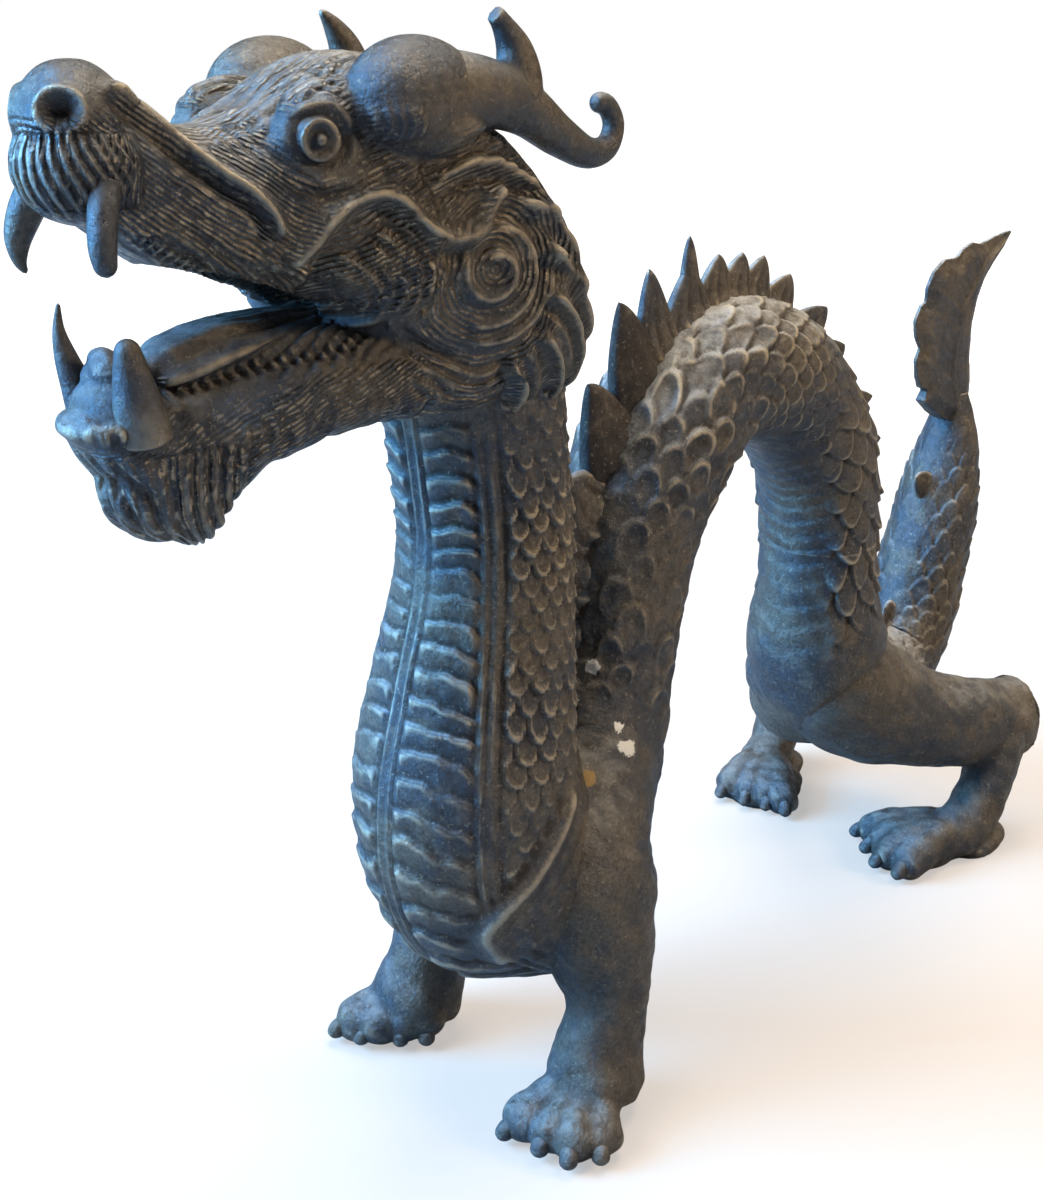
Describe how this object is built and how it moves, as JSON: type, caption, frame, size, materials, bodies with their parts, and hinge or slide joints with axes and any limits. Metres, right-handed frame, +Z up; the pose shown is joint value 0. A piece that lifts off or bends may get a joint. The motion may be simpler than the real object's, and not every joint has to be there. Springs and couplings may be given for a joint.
{
  "type": "bronze dragon sculpture",
  "caption": "Standing horned dragon with an open mouth and a scaled, arched serpentine body, cast in one piece of dark patinated bronze.",
  "frame": {"origin": "on the ground under the middle of the casting's length and width", "axes": "+X from the head to the tail, so the dragon looks along -X; +Y to the dragon's right; +Z up"},
  "size_m": [0.4114, 0.1092, 0.2906],
  "materials": {
    "bronze": "dark brown-black patina, rubbed warmer on raised rims, satin"
  },
  "bodies": {
    "root": {"dragon": "bronze"}
  },
  "joints": []
}
